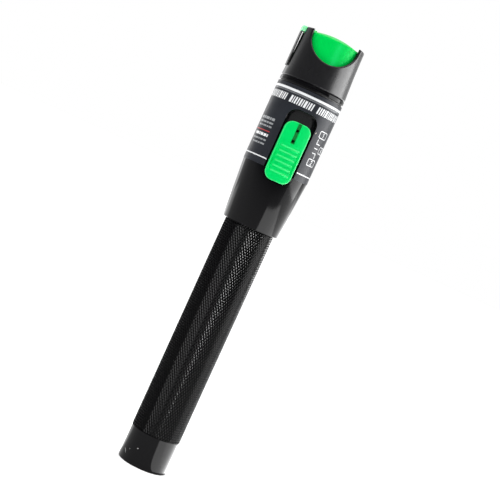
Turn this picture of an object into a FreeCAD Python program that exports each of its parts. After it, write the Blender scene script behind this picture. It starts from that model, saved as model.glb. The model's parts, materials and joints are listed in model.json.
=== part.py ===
import FreeCAD, Part
import math
import os

# Pen-type visual fault locator, in millimetres.
# The pen stands on its tail: Z runs up its axis to the head, and the switch faces -Y.

V = FreeCAD.Vector

# ---- fits and gaps ----
screw_fit = 0.05          # radial play of a threaded spigot in its socket
slip_fit = 0.05           # radial play of parts that push together
inner_play = 0.1          # play round the electronics inside the barrel
end_gap = 0.2             # axial room left at the end of a screwed joint
slide_play = 0.25         # play round the sliding switch parts
near = 0.05               # how close to a face an edge's ends lie when it is picked for rounding

# ---- batteries, two AA cells in a row ----
battery_count = 2
battery_len = 50.5
battery_r = 7.25
battery_nub_r = 2.75
battery_nub_len = 1.0
battery_play = 0.3
battery_edge = 0.6

# ---- tail cap ----
tail_cap_r = 9.8
tail_cap_len = 13.3
tail_cap_floor = 2.5
tail_cap_edge = 0.6
tail_spigot_r = 8.6
tail_spigot_len = 8.5
tail_spigot_wall = 1.15
joint_bevel = 0.15
spigot_bevel = 0.4
tail_contact_r = 6.9
tail_contact_thick = 0.5
tail_rivet_r = 1.4
spring_len = 5.5
spring_wire_r = 0.4
spring_coil_r = 5.6
spring_half_turns = 7

# ---- seal rings ----
seal_wire_r = 0.36
seal_groove_len = 1.0
seal_proud = 0.03
seal_from_shoulder = 0.7

# ---- grip tube ----
grip_r = 9.75
grip_spigot_r = 9.0
grip_spigot_len = 13.0

# ---- barrel, a cone and a cylinder in one turned piece ----
cone_low_r = 11.1
cone_len = 22.9
barrel_r = 12.9
barrel_head_room = 8.1
barrel_wall = 2.0
barrel_edge = 0.25
label_thick = 0.1
label_window_margin = 0.2
label_seam = 0.5

# ---- switch window and slider ----
window_from_cone_foot = 19.0
window_width = 11.7
window_corner = 3.7
slider_width = 10.3
slider_len = 23.1
slider_corner = 3.2
slider_travel = 4.0
slider_end_gap = 0.3
slider_proud = 0.4
slider_lift = 0.3
slider_edge = 0.45
slider_groove_width = 1.4
slider_groove_len = 8.0
slider_groove_depth = 0.5
slider_hole_r = 0.55
slider_hole_depth = 1.1
slider_hole_tops = (2.9, 7.0)
dish_from_top = 8.6
dish_len = 12.7
dish_width = 8.9
dish_corner = 2.2
dish_depth = 0.7
rib_count = 6
rib_pitch = 1.98
rib_from_top = 9.75
rib_len = 7.5
rib_width = 0.6
rib_height = 0.4
rib_root = 0.3

# ---- switch bed, the slide switch and its lever ----
bed_thick = 1.4
bed_width = 14.4
bed_overlap = 2.0
bed_end_gap = 1.1
bed_rail = 1.4
tongue_width = 3.2
tongue_len = 4.2
tongue_overlap = 1.6
lever_width = 1.8
lever_len = 2.0
lever_proud = 2.9
lever_foot_width = 4.2
lever_foot_len = 4.4
lever_foot_thick = 1.4
switch_width = 6.4
switch_len = 13.0
switch_height = 3.7
switch_wall = 0.6

# ---- carrier, circuit board and its components ----
carrier_wall = 1.5
carrier_floor = 2.0
carrier_nose_len = 2.3
front_contact_r = 5.0
front_contact_thick = 0.6
rivet_r = 1.2
rivet_proud = 0.4
board_thick = 1.0
board_side_gap = 0.7
board_foot_gap = 0.6
board_head_gap = 1.9
chip_size = (3.9, 1.45, 4.9)
chip_up = 8.0
capacitor_r = 2.0
capacitor_len = 5.0
capacitor_up = 16.0
resistor_size = (1.6, 0.6, 3.2)
resistor_count = 3
resistor_pitch = 2.6
resistor_up = 23.0
lead_wire_r = 0.35
lead_wire_len = 3.5

# ---- laser module ----
holder_r = 4.5
holder_flange_r = 6.5
holder_flange_thick = 1.8
diode_base_r = 2.8
diode_base_thick = 1.2
diode_can_r = 1.8
diode_can_len = 2.3
diode_pin_r = 0.225
diode_pin_circle_r = 1.27
diode_pin_len = 5.4
holder_throat_r = 2.1
lens_r = 2.6
lens_edge = 0.5
lens_crown = 0.45
lens_seat_gap = 0.5

# ---- head: bulkhead, gasket, collar ring ----
bulkhead_depth = 5.0
bulkhead_rise = 4.2
grub_r = 1.0
grub_len = 4.0
grub_up = 2.5
grub_socket_r = 0.5
grub_socket_depth = 1.2
gasket_thick = 0.4
gasket_inset = 0.45
collar_len = 1.6
collar_proud = 0.05
collar_bevel = 0.35

# ---- head shroud ----
shroud_len = 19.7
shroud_mid_draw = 0.33
shroud_mid_up = 6.0
shroud_top_draw = 0.75
shroud_top_wall = 1.2
shroud_web = 2.0
shroud_foot_bevel = 0.55
shroud_edge = 0.6
scoop_side_room = 3.2
scoop_sink = 1.3
side_slot_width = 7.0
side_slot_up = 3.7

# ---- ferrule port ----
port_r = 3.5
port_len = 18.5
port_edge = 0.4
port_beam_r = 0.9
sleeve_bore_r = 1.252
sleeve_r = 1.6
sleeve_len = 11.4
nut_flats = 10.0
nut_len = 2.0
nut_bevel = 0.5

# ---- dust cap and its pull strap ----
cap_side_gap = 0.4
cap_wall = 1.2
cap_lid = 1.6
cap_foot_up = 1.2
cap_edge = 0.9
cap_crown = 1.6
cap_top_above_shroud = 0.7
cap_socket_wall = 2.1
cap_socket_gap = 0.3
lip_width = 6.0
lip_proud = 0.05
lip_thick = 2.0
lip_drop = 0.8
lip_root = 3.0
strap_width = 5.2
strap_thick = 0.45
toe_len = 1.3
toe_gap = 0.1

# ---- heights along the axis, each from the piece below ----
spring_z0 = tail_cap_floor + tail_contact_thick
stack_z0 = spring_z0 + spring_len
stack_z1 = stack_z0 + battery_count * battery_len
contact_z1 = stack_z1 + front_contact_thick
carrier_z0 = contact_z1 + carrier_nose_len
grip_end_z = carrier_z0 - end_gap
grip_z1 = grip_end_z - grip_spigot_len
cone_z1 = grip_z1 + cone_len
window_z0 = grip_z1 + window_from_cone_foot
window_len = slider_len + slider_travel + 2 * slider_end_gap
window_z1 = window_z0 + window_len
barrel_z1 = window_z1 + barrel_head_room
gasket_z1 = barrel_z1 + gasket_thick
collar_z1 = gasket_z1 + collar_len
shroud_z1 = collar_z1 + shroud_len
bulkhead_z0 = barrel_z1 - bulkhead_depth
bulkhead_z1 = barrel_z1 + bulkhead_rise
holder_z0 = bulkhead_z0 - holder_flange_thick
web_z1 = bulkhead_z1 + shroud_web
slider_z0 = window_z0 + slider_end_gap
slider_z1 = slider_z0 + slider_len
tongue_z = slider_z0 + slider_len / 2
switch_z = tongue_z + slider_travel / 2
carrier_z1 = holder_z0 - end_gap
board_z0 = carrier_z0 + carrier_floor + board_foot_gap
board_z1 = carrier_z1 - board_head_gap
cap_z1 = shroud_z1 + cap_top_above_shroud
lip_z1 = cap_z1 - lip_drop
lip_z0 = lip_z1 - lip_thick
side_slot_z0 = collar_z1 + side_slot_up
diode_z1 = holder_z0 + diode_base_thick
lens_z0 = diode_z1 + diode_can_len + lens_seat_gap
port_z0 = lens_z0 + lens_edge + lens_crown
port_z1 = port_z0 + port_len
sleeve_z0 = port_z1 - sleeve_len

# ---- radii and depths that follow from the sizes above ----
grip_bore_r = battery_r + battery_play
tail_bore_r = tail_spigot_r - tail_spigot_wall
seal_groove_depth = 2 * seal_wire_r - seal_proud
cavity_r = barrel_r - barrel_wall
label_r = barrel_r + label_thick
inner_r = cavity_r - inner_play
board_width = 2 * (inner_r - board_side_gap)
collar_r = barrel_r + collar_proud
shroud_mid_r = collar_r - shroud_mid_draw
shroud_top_r = collar_r - shroud_top_draw
shroud_bore_r = shroud_top_r - shroud_top_wall
scoop_r = shroud_top_r - scoop_side_room
cap_r = shroud_bore_r - cap_side_gap
lip_reach = collar_r + lip_proud
bed_r = cavity_r - slip_fit
slider_under_r = bed_r + slider_lift
slider_r = label_r + slider_proud
board_front = -board_thick / 2
board_back = board_thick / 2
switch_front = board_front - switch_height
lever_tip = switch_front - lever_proud


def outline(start, *steps):
    """Closed face in the XZ plane. A step is a point, or a pair: a point passed through and an end point."""
    def at(p):
        return V(p[0], 0, p[1])
    edges = []
    here = start
    for step in steps + (start,):
        if isinstance(step[0], tuple):
            edges.append(Part.Arc(at(here), at(step[0]), at(step[1])).toShape())
            here = step[1]
        elif math.dist(here, step) > 1e-9:
            edges.append(Part.LineSegment(at(here), at(step)).toShape())
            here = step
    return Part.Face(Part.Wire(edges))


def turned(start, *steps):
    """Solid of revolution about the pen's axis, from (radius, height) points."""
    return outline(start, *steps).revolve(V(0, 0, 0), V(0, 0, 1), 360)


def rod(r, z0, z1):
    return Part.makeCylinder(r, z1 - z0, V(0, 0, z0))


def tube(r_out, r_in, z0, z1):
    return rod(r_out, z0, z1).cut(rod(r_in, z0, z1))


def block(x0, x1, y0, y1, z0, z1):
    return Part.makeBox(x1 - x0, y1 - y0, z1 - z0, V(x0, y0, z0))


def rounded_prism(width, z0, z1, corner, y0, y1):
    """Rounded rectangle, centred on X, cut through from y0 to y1."""
    w = width / 2
    k = corner * (1 - math.sqrt(0.5))
    face = outline(
        (-w + corner, z0), (w - corner, z0), ((w - k, z0 + k), (w, z0 + corner)),
        (w, z1 - corner), ((w - k, z1 - k), (w - corner, z1)),
        (-w + corner, z1), ((-w + k, z1 - k), (-w, z1 - corner)),
        (-w, z0 + corner), ((-w + k, z0 + k), (-w + corner, z0)))
    face.translate(V(0, y0, 0))
    return face.extrude(V(0, y1 - y0, 0))


def seal_ring(groove_floor_r, z):
    return Part.makeTorus(groove_floor_r + seal_wire_r, seal_wire_r, V(0, 0, z), V(0, 0, 1))


def dome_mid(r, z0, z1):
    """Point halfway along the arc that rises from (r, z0) to the axis at z1 and is centred on the axis."""
    rise = z1 - z0
    arc_r = (r ** 2 + rise ** 2) / (2 * rise)
    half = math.asin(r / arc_r) / 2
    return (arc_r * math.sin(half), z1 - arc_r * (1 - math.cos(half)))


# ---- tail ----
def tail_cap():
    groove_z0 = tail_cap_len + seal_from_shoulder
    groove_z1 = groove_z0 + seal_groove_len
    groove_r = tail_spigot_r - seal_groove_depth
    spigot_z1 = tail_cap_len + tail_spigot_len
    k = tail_cap_edge * (1 - math.sqrt(0.5))
    return turned(
        (0, 0), (tail_cap_r - tail_cap_edge, 0),
        ((tail_cap_r - k, k), (tail_cap_r, tail_cap_edge)),
        (tail_cap_r, tail_cap_len - joint_bevel), (tail_cap_r - joint_bevel, tail_cap_len),
        (tail_spigot_r, tail_cap_len), (tail_spigot_r, groove_z0), (groove_r, groove_z0),
        (groove_r, groove_z1), (tail_spigot_r, groove_z1), (tail_spigot_r, spigot_z1 - spigot_bevel),
        (tail_spigot_r - spigot_bevel, spigot_z1), (tail_bore_r, spigot_z1),
        (tail_bore_r, tail_cap_floor), (0, tail_cap_floor))


def tail_seal():
    groove_mid = tail_cap_len + seal_from_shoulder + seal_groove_len / 2
    return seal_ring(tail_spigot_r - seal_groove_depth, groove_mid)


def tail_contact():
    disc = rod(tail_contact_r, tail_cap_floor, spring_z0)
    head = rod(tail_rivet_r, spring_z0, spring_z0 + tail_contact_thick)
    return disc.fuse(head).removeSplitter()


def tail_spring():
    """Round-wire coil of tilted half turns, between the contact disc and the rear cell."""
    rise = (spring_len - 2 * spring_wire_r - slip_fit) / spring_half_turns
    turns = []
    for index in range(spring_half_turns):
        side = (-1) ** index
        z = spring_z0 + spring_wire_r + index * rise
        start = V(side * spring_coil_r, 0, z)
        wire = Part.Face(Part.Wire(Part.makeCircle(spring_wire_r, start, V(0, 1, 0))))
        tilt = V(side * rise / 2, 0, spring_coil_r)
        turns.append(wire.revolve(V(0, 0, z + rise / 2), tilt, 180))
    return turns[0].fuse(turns[1:]).removeSplitter()


def battery(index):
    z0 = stack_z0 + index * battery_len
    z1 = z0 + battery_len - battery_nub_len
    k = battery_edge * (1 - math.sqrt(0.5))
    return turned(
        (0, z0), (battery_r - battery_edge, z0),
        ((battery_r - k, z0 + k), (battery_r, z0 + battery_edge)),
        (battery_r, z1 - battery_edge),
        ((battery_r - k, z1 - k), (battery_r - battery_edge, z1)),
        (battery_nub_r, z1), (battery_nub_r, z0 + battery_len), (0, z0 + battery_len))


# ---- grip and barrel ----
def grip_tube():
    socket_r = tail_spigot_r + screw_fit
    socket_z1 = tail_cap_len + tail_spigot_len + end_gap
    groove_z0 = grip_z1 + seal_from_shoulder
    groove_z1 = groove_z0 + seal_groove_len
    groove_r = grip_spigot_r - seal_groove_depth
    return turned(
        (socket_r, tail_cap_len), (grip_r - joint_bevel, tail_cap_len),
        (grip_r, tail_cap_len + joint_bevel), (grip_r, grip_z1), (grip_spigot_r, grip_z1),
        (grip_spigot_r, groove_z0), (groove_r, groove_z0), (groove_r, groove_z1),
        (grip_spigot_r, groove_z1), (grip_spigot_r, grip_end_z - spigot_bevel),
        (grip_spigot_r - spigot_bevel, grip_end_z), (grip_bore_r, grip_end_z),
        (grip_bore_r, socket_z1), (socket_r, socket_z1))


def grip_seal():
    groove_mid = grip_z1 + seal_from_shoulder + seal_groove_len / 2
    return seal_ring(grip_spigot_r - seal_groove_depth, groove_mid)


def window(width, margin, y0, y1):
    return rounded_prism(width + 2 * margin, window_z0 - margin, window_z1 + margin,
                         window_corner + margin, y0, y1)


def barrel():
    socket_r = grip_spigot_r + screw_fit
    body = turned(
        (socket_r, grip_z1), (cone_low_r - barrel_edge, grip_z1), (cone_low_r, grip_z1 + barrel_edge),
        (barrel_r, cone_z1), (barrel_r, barrel_z1 - barrel_edge),
        (barrel_r - barrel_edge, barrel_z1), (cavity_r, barrel_z1), (cavity_r, carrier_z0),
        (socket_r, carrier_z0))
    return body.cut(window(window_width, 0, -2 * barrel_r, 0))


def label_wrap():
    sheet = tube(label_r, barrel_r, cone_z1, barrel_z1 - barrel_edge)
    seam = block(-label_seam / 2, label_seam / 2, 0, 2 * label_r, cone_z1, barrel_z1)
    return sheet.cut(window(window_width, label_window_margin, -2 * label_r, 0)).cut(seam)


# ---- switch ----
def dish_floor_r(z):
    """Radius of the thumb dish's floor at a height: an arc sunk below the slider's face."""
    half = dish_len / 2
    arc_r = (half ** 2 + dish_depth ** 2) / (2 * dish_depth)
    middle = slider_z1 - dish_from_top - half
    return slider_r - dish_depth + arc_r - math.sqrt(arc_r ** 2 - (z - middle) ** 2)


def thumb_dish():
    z1 = slider_z1 - dish_from_top
    z0 = z1 - dish_len
    over = slider_r + slider_proud
    ring = turned((over, z0), (slider_r, z0), ((slider_r - dish_depth, (z0 + z1) / 2), (slider_r, z1)),
                  (over, z1))
    return ring.common(rounded_prism(dish_width, z0, z1, dish_corner, -2 * slider_r, 0))


def rib(index):
    z = slider_z1 - rib_from_top - index * rib_pitch
    floor_r = dish_floor_r(z)
    ring = turned((floor_r - rib_root, z - rib_width / 2), (floor_r + rib_height, z - rib_width / 4),
                  (floor_r + rib_height, z + rib_width / 4), (floor_r - rib_root, z + rib_width / 2))
    return ring.common(block(-rib_len / 2, rib_len / 2, -2 * slider_r, 0, z - rib_width, z + rib_width))


def is_face_edge(edge):
    """True for the edges that run round the slider's outer face."""
    return all(math.hypot(v.X, v.Y) > slider_r - near for v in edge.Vertexes)


def switch_slider():
    shell = tube(slider_r, slider_under_r, slider_z0, slider_z1)
    body = shell.common(rounded_prism(slider_width, slider_z0, slider_z1, slider_corner, -2 * slider_r, 0))
    body = body.makeFillet(slider_edge, [e for e in body.Edges if is_face_edge(e)])
    body = body.cut(thumb_dish())
    groove = tube(2 * slider_r, slider_r - slider_groove_depth, slider_z1 - slider_groove_len, slider_z1)
    body = body.cut(groove.common(block(-slider_groove_width / 2, slider_groove_width / 2,
                                        -3 * slider_r, 0, 0, slider_z1)))
    for drop in slider_hole_tops:
        hole = Part.makeCylinder(slider_hole_r, slider_r, V(0, -slider_r + slider_hole_depth, slider_z1 - drop),
                                 V(0, -1, 0))
        body = body.cut(hole)
    for index in range(rib_count):
        body = body.fuse(rib(index))
    tongue_tip = lever_tip + tongue_overlap
    tongue = block(-tongue_width / 2, tongue_width / 2, -slider_under_r - slider_lift, tongue_tip,
                   tongue_z - tongue_len / 2, tongue_z + tongue_len / 2)
    pocket = block(-lever_width / 2 - slip_fit, lever_width / 2 + slip_fit, lever_tip, tongue_tip,
                   tongue_z - lever_len / 2 - slip_fit, tongue_z + lever_len / 2 + slip_fit)
    return body.fuse(tongue).cut(pocket).removeSplitter()


def switch_bed():
    z0 = window_z0 - bed_overlap
    z1 = bulkhead_z0 - bed_end_gap
    half = bed_width / 2
    plate = tube(bed_r, bed_r - bed_thick, z0, z1).common(block(-half, half, -2 * bed_r, 0, z0, z1))
    slot = block(-tongue_width / 2 - slide_play, tongue_width / 2 + slide_play, -2 * bed_r, 0,
                 tongue_z - tongue_len / 2 - slide_play,
                 tongue_z + tongue_len / 2 + slider_travel + slide_play)
    rail_room = rod(bed_r - bed_thick / 2, z0, board_z1)
    bed = plate.cut(slot)
    for side in (-1, 1):
        inner = side * (half - bed_rail)
        rail = block(min(inner, side * half), max(inner, side * half), -bed_r, board_front, z0, z1)
        bed = bed.fuse(rail.common(rail_room))
    return bed.removeSplitter()


def slide_switch():
    half_w = switch_width / 2
    half_l = switch_len / 2
    case = block(-half_w, half_w, switch_front, board_front, switch_z - half_l, switch_z + half_l)
    room = block(-half_w + switch_wall, half_w - switch_wall, switch_front + switch_wall,
                 board_front - switch_wall, switch_z - half_l + switch_wall, switch_z + half_l - switch_wall)
    slot_l = (lever_len + slider_travel) / 2 + slide_play
    slot_w = lever_width / 2 + slide_play
    slot = block(-slot_w, slot_w, switch_front, switch_front + switch_wall, switch_z - slot_l, switch_z + slot_l)
    return case.cut(room).cut(slot)


def switch_lever():
    foot_y0 = switch_front + switch_wall + slide_play
    stem = block(-lever_width / 2, lever_width / 2, lever_tip, foot_y0,
                 tongue_z - lever_len / 2, tongue_z + lever_len / 2)
    foot = block(-lever_foot_width / 2, lever_foot_width / 2, foot_y0, foot_y0 + lever_foot_thick,
                 tongue_z - lever_foot_len / 2, tongue_z + lever_foot_len / 2)
    return stem.fuse(foot).removeSplitter()


# ---- electronics ----
def module_carrier():
    nose = rod(grip_bore_r - inner_play, contact_z1, carrier_z0)
    floor = rod(inner_r, carrier_z0, carrier_z0 + carrier_floor)
    trough = tube(inner_r, inner_r - carrier_wall, carrier_z0 + carrier_floor, carrier_z1)
    trough = trough.common(block(-inner_r, inner_r, board_back, inner_r, carrier_z0, carrier_z1))
    bore = rod(rivet_r, contact_z1, carrier_z0 + carrier_floor)
    return nose.fuse(floor).fuse(trough).cut(bore).removeSplitter()


def front_contact():
    disc = rod(front_contact_r, stack_z1, contact_z1)
    shank = rod(rivet_r, contact_z1, carrier_z0 + carrier_floor + rivet_proud)
    return disc.fuse(shank).removeSplitter()


def battery_lead():
    rivet_top = carrier_z0 + carrier_floor + rivet_proud
    return Part.makeCylinder(lead_wire_r, lead_wire_len, V(0, board_back + lead_wire_r, rivet_top))


def circuit_board():
    return block(-board_width / 2, board_width / 2, board_front, board_back, board_z0, board_z1)


def on_board(size, x, up):
    """Box-shaped component on the back of the board."""
    z = board_z0 + up
    return block(x - size[0] / 2, x + size[0] / 2, board_back, board_back + size[1],
                 z - size[2] / 2, z + size[2] / 2)


def driver_chip():
    return on_board(chip_size, 0, chip_up)


def capacitor():
    z = board_z0 + capacitor_up
    return Part.makeCylinder(capacitor_r, capacitor_len, V(0, board_back, z), V(0, 1, 0))


def board_resistors():
    first = -(resistor_count - 1) / 2
    return Part.makeCompound([
        on_board(resistor_size, (first + i) * resistor_pitch, resistor_up) for i in range(resistor_count)])


# ---- laser module ----
def laser_holder():
    lens_seat_r = lens_r + slip_fit
    diode_seat_r = diode_base_r + slip_fit
    thread_r = port_r + slip_fit
    return turned(
        (diode_seat_r, holder_z0), (holder_flange_r, holder_z0), (holder_flange_r, bulkhead_z0),
        (holder_r, bulkhead_z0), (holder_r, bulkhead_z1), (thread_r, bulkhead_z1),
        (thread_r, port_z0), (lens_seat_r, port_z0), (lens_seat_r, lens_z0), (holder_throat_r, lens_z0),
        (holder_throat_r, diode_z1), (diode_seat_r, diode_z1))


def laser_diode():
    base = rod(diode_base_r, holder_z0, diode_z1)
    body = base.fuse(rod(diode_can_r, diode_z1, diode_z1 + diode_can_len))
    side = math.asin((board_back + diode_pin_r) / diode_pin_circle_r)
    for angle in (side, math.pi + side, -side):
        x = diode_pin_circle_r * math.cos(angle)
        y = diode_pin_circle_r * math.sin(angle)
        pin = Part.makeCylinder(diode_pin_r, diode_pin_len, V(x, y, holder_z0 - diode_pin_len))
        body = body.fuse(pin)
    return body.removeSplitter()


def collimating_lens():
    face_z = lens_z0 + lens_edge
    top = face_z + lens_crown
    return turned((0, lens_z0), (lens_r, lens_z0), (lens_r, face_z), (dome_mid(lens_r, face_z, top), (0, top)))


# ---- head ----
def bulkhead():
    body = tube(bed_r, holder_r + slip_fit, bulkhead_z0, bulkhead_z1)
    return body.cut(grub_holes())


def grub_angles():
    return (90, 270)


def radial_rod(r, from_r, to_r, z, angle):
    x = math.cos(math.radians(angle))
    y = math.sin(math.radians(angle))
    return Part.makeCylinder(r, to_r - from_r, V(from_r * x, from_r * y, z), V(x, y, 0))


def grub_holes():
    z = bulkhead_z0 + grub_up
    holes = [radial_rod(grub_r, 0, barrel_r, z, angle) for angle in grub_angles()]
    return holes[0].fuse(holes[1:])


def grub_screws():
    z = bulkhead_z0 + grub_up
    screws = []
    for angle in grub_angles():
        end = holder_r + slip_fit + grub_len
        screw = radial_rod(grub_r, holder_r + slip_fit, end, z, angle)
        screws.append(screw.cut(radial_rod(grub_socket_r, end - grub_socket_depth, end, z, angle)))
    return Part.makeCompound(screws)


def head_gasket():
    return tube(barrel_r - gasket_inset, bed_r + slip_fit, barrel_z1, gasket_z1)


def collar_ring():
    bore_r = bed_r + slip_fit
    return turned(
        (bore_r, gasket_z1), (collar_r - collar_bevel, gasket_z1), (collar_r, gasket_z1 + collar_bevel),
        (collar_r, collar_z1 - collar_bevel), (collar_r - collar_bevel, collar_z1), (bore_r, collar_z1))


def is_scoop_edge(edge):
    """True for the edges where a scoop or the rim meets the shroud's outer face, but not the side slot's."""
    lowest = shroud_z1 - scoop_sink - scoop_r - near
    if edge.Length < shroud_edge or edge.BoundBox.ZMin < lowest:
        return False
    return all(math.hypot(v.X, v.Y) > shroud_top_r - near for v in edge.Vertexes)


def head_shroud():
    foot_z1 = collar_z1 + shroud_foot_bevel
    mid = (shroud_mid_r, collar_z1 + shroud_mid_up)
    body = turned(
        (bed_r + slip_fit, collar_z1), (collar_r - shroud_foot_bevel, collar_z1),
        (collar_r, foot_z1), (mid, (shroud_top_r, shroud_z1)),
        (shroud_bore_r, shroud_z1), (shroud_bore_r, web_z1), (port_r + slip_fit, web_z1),
        (port_r + slip_fit, bulkhead_z1), (bed_r + slip_fit, bulkhead_z1))
    scoop_z = shroud_z1 - scoop_sink
    through = 2 * collar_r
    body = body.cut(Part.makeCylinder(scoop_r, 2 * through, V(0, -through, scoop_z), V(0, 1, 0)))
    body = body.cut(block(-scoop_r, scoop_r, -through, through, scoop_z, shroud_z1))
    body = body.cut(block(-2 * collar_r, 0, -side_slot_width / 2, side_slot_width / 2,
                          side_slot_z0, shroud_z1))
    return body.makeFillet(shroud_edge, [e for e in body.Edges if is_scoop_edge(e)])


# ---- ferrule port ----
def port_bushing():
    return turned(
        (port_beam_r, port_z0), (port_r, port_z0), (port_r, port_z1 - port_edge),
        (port_r - port_edge, port_z1), (sleeve_r, port_z1), (sleeve_r, sleeve_z0), (port_beam_r, sleeve_z0))


def ferrule_sleeve():
    return tube(sleeve_r, sleeve_bore_r, sleeve_z0, port_z1)


def port_nut():
    corner_r = nut_flats / math.sqrt(3)
    corners = [V(corner_r * math.cos(math.radians(60 * i)), corner_r * math.sin(math.radians(60 * i)), web_z1)
               for i in range(7)]
    hexagon = Part.Face(Part.makePolygon(corners)).extrude(V(0, 0, nut_len))
    inner = port_r + slip_fit
    bevel = turned((0, web_z1), (corner_r, web_z1), (corner_r, web_z1 + nut_len - nut_bevel),
                   (nut_flats / 2, web_z1 + nut_len), (0, web_z1 + nut_len))
    return hexagon.common(bevel).cut(rod(inner, web_z1, web_z1 + nut_len))


# ---- dust cap ----
def dust_cap():
    foot = web_z1 + cap_foot_up
    rim_z = cap_z1 - cap_crown
    k = cap_edge * (1 - math.sqrt(0.5))
    socket_r = port_r + slip_fit
    socket_z1 = port_z1 + cap_socket_gap
    socket_wall_r = socket_r + cap_socket_wall
    socket_foot = web_z1 + nut_len + cap_socket_gap
    lid_z0 = rim_z - cap_lid
    crown_mid = dome_mid(cap_r - cap_edge, rim_z, cap_z1)
    cup = turned(
        (cap_r - cap_wall, foot), (cap_r, foot), (cap_r, rim_z - cap_edge),
        ((cap_r - k, rim_z - k), (cap_r - cap_edge, rim_z)), (crown_mid, (0, cap_z1)),
        (0, socket_z1), (socket_r, socket_z1), (socket_r, socket_foot), (socket_wall_r, socket_foot),
        (socket_wall_r, lid_z0), (cap_r - cap_wall, lid_z0))
    lip = block(-lip_reach, -cap_r + lip_root, -lip_width / 2, lip_width / 2, lip_z0, lip_z1)
    return cup.fuse(lip).removeSplitter()


def pull_strap():
    toe_z0 = side_slot_z0 + toe_gap
    outer = -lip_reach
    strap = block(outer, outer + strap_thick, -strap_width / 2, strap_width / 2, toe_z0, lip_z0)
    toe = block(outer, -shroud_bore_r, -strap_width / 2, strap_width / 2, toe_z0, toe_z0 + toe_len)
    return strap.fuse(toe).removeSplitter()


parts = {
    "tail_cap": tail_cap(),
    "tail_seal": tail_seal(),
    "tail_contact": tail_contact(),
    "tail_spring": tail_spring(),
    "battery_rear": battery(0),
    "battery_front": battery(1),
    "grip_tube": grip_tube(),
    "grip_seal": grip_seal(),
    "barrel": barrel(),
    "label_wrap": label_wrap(),
    "switch_slider": switch_slider(),
    "switch_bed": switch_bed(),
    "slide_switch": slide_switch(),
    "switch_lever": switch_lever(),
    "module_carrier": module_carrier(),
    "front_contact": front_contact(),
    "battery_lead": battery_lead(),
    "circuit_board": circuit_board(),
    "driver_chip": driver_chip(),
    "capacitor": capacitor(),
    "board_resistors": board_resistors(),
    "laser_holder": laser_holder(),
    "laser_diode": laser_diode(),
    "collimating_lens": collimating_lens(),
    "bulkhead": bulkhead(),
    "grub_screws": grub_screws(),
    "head_gasket": head_gasket(),
    "collar_ring": collar_ring(),
    "head_shroud": head_shroud(),
    "port_bushing": port_bushing(),
    "ferrule_sleeve": ferrule_sleeve(),
    "port_nut": port_nut(),
    "dust_cap": dust_cap(),
    "pull_strap": pull_strap(),
}

os.makedirs("parts", exist_ok=True)
for name, shape in parts.items():
    shape.exportStep("parts/" + name + ".step")
    print(name, shape.isValid(), len(shape.Solids), round(shape.Volume, 2), round(shape.BoundBox.ZMin, 2),
          round(shape.BoundBox.ZMax, 2))
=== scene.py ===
"""Looks of the pen-type visual fault locator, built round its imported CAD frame.

Shapes are worked out in millimetres and become Blender meshes in metres. The pen stands on its tail,
with Z up its axis and the switch facing -Y.
"""

import json
import math

import bmesh
import bpy
import numpy as np
from mathutils import Matrix, Vector
from mathutils.geometry import delaunay_2d_cdt


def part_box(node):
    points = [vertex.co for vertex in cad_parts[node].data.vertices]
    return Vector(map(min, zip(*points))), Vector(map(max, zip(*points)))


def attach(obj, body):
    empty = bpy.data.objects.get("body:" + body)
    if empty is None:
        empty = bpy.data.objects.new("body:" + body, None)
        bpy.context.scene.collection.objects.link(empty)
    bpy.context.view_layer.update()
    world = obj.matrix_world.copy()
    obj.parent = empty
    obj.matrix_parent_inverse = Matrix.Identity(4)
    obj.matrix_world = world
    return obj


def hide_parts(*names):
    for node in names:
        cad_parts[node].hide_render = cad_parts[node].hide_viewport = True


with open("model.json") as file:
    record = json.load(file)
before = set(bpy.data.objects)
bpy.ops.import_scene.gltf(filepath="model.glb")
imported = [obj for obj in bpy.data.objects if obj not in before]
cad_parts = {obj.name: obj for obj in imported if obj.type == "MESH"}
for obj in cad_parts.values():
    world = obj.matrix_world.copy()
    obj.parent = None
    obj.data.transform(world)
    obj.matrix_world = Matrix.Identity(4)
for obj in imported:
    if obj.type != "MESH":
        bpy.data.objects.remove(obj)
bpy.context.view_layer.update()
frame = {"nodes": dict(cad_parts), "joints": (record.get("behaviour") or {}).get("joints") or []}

MM = 0.001
TAU = 2 * math.pi


def low(node):
    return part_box(node)[0] / MM


def high(node):
    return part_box(node)[1] / MM


# ---- heights and radii from the frame, in millimetres ----
switch_travel = next(j for j in frame["joints"] if j["name"] == "switch_slide")["range_m"][1] / MM
tail_r = high("tail_cap").x
tail_spigot_z1 = high("tail_cap").z
joint_z = low("grip_tube").z
grip_r = high("grip_tube").x
grip_end_z = high("grip_tube").z
cone_z0 = low("barrel").z
cone_z1 = low("label_wrap").z
barrel_r = high("barrel").x
barrel_z1 = high("barrel").z
label_r = high("label_wrap").x
label_z1 = high("label_wrap").z
slider_z0 = low("switch_slider").z
slider_z1 = high("switch_slider").z
slider_w = high("switch_slider").x
slider_front = -low("switch_slider").y

# ---- sizes that the boxes of the nodes don't give, in millimetres ----
tail_spigot_r = 8.6
tail_bore_r = 7.45
tail_floor = 2.5
grip_bore_r = 7.55
grip_spigot_r = 9.0
screw_fit = 0.05
end_gap = 0.2
seal_groove = (0.7, 1.0, 0.69)
cone_low_r = 11.1
cavity_r = barrel_r - 2.0
window_half_w = 5.85
window_corner = 3.7
window_gap = 0.3
label_gap = 0.2
label_seam_half = 0.25
label_lift = 0.004
window_z0 = slider_z0 - window_gap
window_z1 = slider_z1 + switch_travel + window_gap
slider_corner = 3.2
slider_r = label_r + 0.4
slider_under_r = cavity_r + 0.25


# ---------------------------------------------------------------- materials

def node(tree, kind, **values):
    """New shader node; values are settings of the node, or of its inputs where the name is an input's."""
    made = tree.nodes.new(kind)
    for key, value in values.items():
        name = key.replace("_", " ")
        if name in made.inputs:
            made.inputs[name].default_value = value
        else:
            setattr(made, key, value)
    return made


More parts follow.
